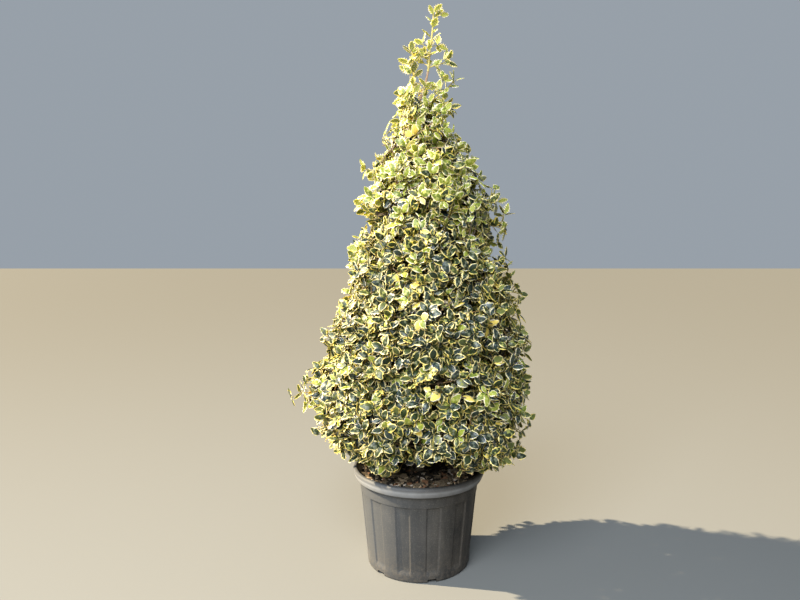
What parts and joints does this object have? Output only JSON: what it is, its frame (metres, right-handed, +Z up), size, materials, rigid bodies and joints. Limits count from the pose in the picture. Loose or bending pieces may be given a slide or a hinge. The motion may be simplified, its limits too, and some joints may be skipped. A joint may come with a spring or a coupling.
{
  "type": "potted holly",
  "caption": "Cone-shaped variegated holly shrub with a straight trunk, tiers of boughs and dense leaf masses, in a fluted nursery container.",
  "frame": {"origin": "centre of the container's flat underside, on the ground", "axes": "+Z up the trunk; the side that faces the viewer is -Y, and the viewer's right is +X"},
  "size_m": [1.1857, 1.1842, 2.6206],
  "materials": {
    "container": "weathered charcoal, dusty, slightly paler on the rim",
    "compost": "dark compost under bark mulch",
    "bark": "smooth grey-brown bark with fine ridges",
    "foliage": "glossy green leaves with cream margins"
  },
  "bodies": {
    "root": {"pot": "container", "soil": "compost", "trunk": "bark", "bough_bottom_1": "bark", "foliage_bottom_1": "foliage", "bough_bottom_2": "bark", "foliage_bottom_2": "foliage", "bough_bottom_3": "bark", "foliage_bottom_3": "foliage", "bough_bottom_4": "bark", "foliage_bottom_4": "foliage", "bough_bottom_5": "bark", "foliage_bottom_5": "foliage", "bough_bottom_6": "bark", "foliage_bottom_6": "foliage", "bough_low_1": "bark", "foliage_low_1": "foliage", "bough_low_2": "bark", "foliage_low_2": "foliage", "bough_low_3": "bark", "foliage_low_3": "foliage", "bough_low_4": "bark", "foliage_low_4": "foliage", "bough_low_5": "bark", "foliage_low_5": "foliage", "bough_middle_1": "bark", "foliage_middle_1": "foliage", "bough_middle_2": "bark", "foliage_middle_2": "foliage", "bough_middle_3": "bark", "foliage_middle_3": "foliage", "bough_middle_4": "bark", "foliage_middle_4": "foliage", "bough_upper_1": "bark", "foliage_upper_1": "foliage", "bough_upper_2": "bark", "foliage_upper_2": "foliage", "bough_upper_3": "bark", "foliage_upper_3": "foliage", "bough_upper_4": "bark", "foliage_upper_4": "foliage", "bough_high_1": "bark", "foliage_high_1": "foliage", "bough_high_2": "bark", "foliage_high_2": "foliage", "bough_high_3": "bark", "foliage_high_3": "foliage", "bough_top_1": "bark", "foliage_top_1": "foliage", "bough_top_2": "bark", "foliage_top_2": "foliage", "foliage_leader": "foliage", "foliage_second_leader": "foliage", "foliage_side_spray": "foliage"}
  },
  "joints": []
}
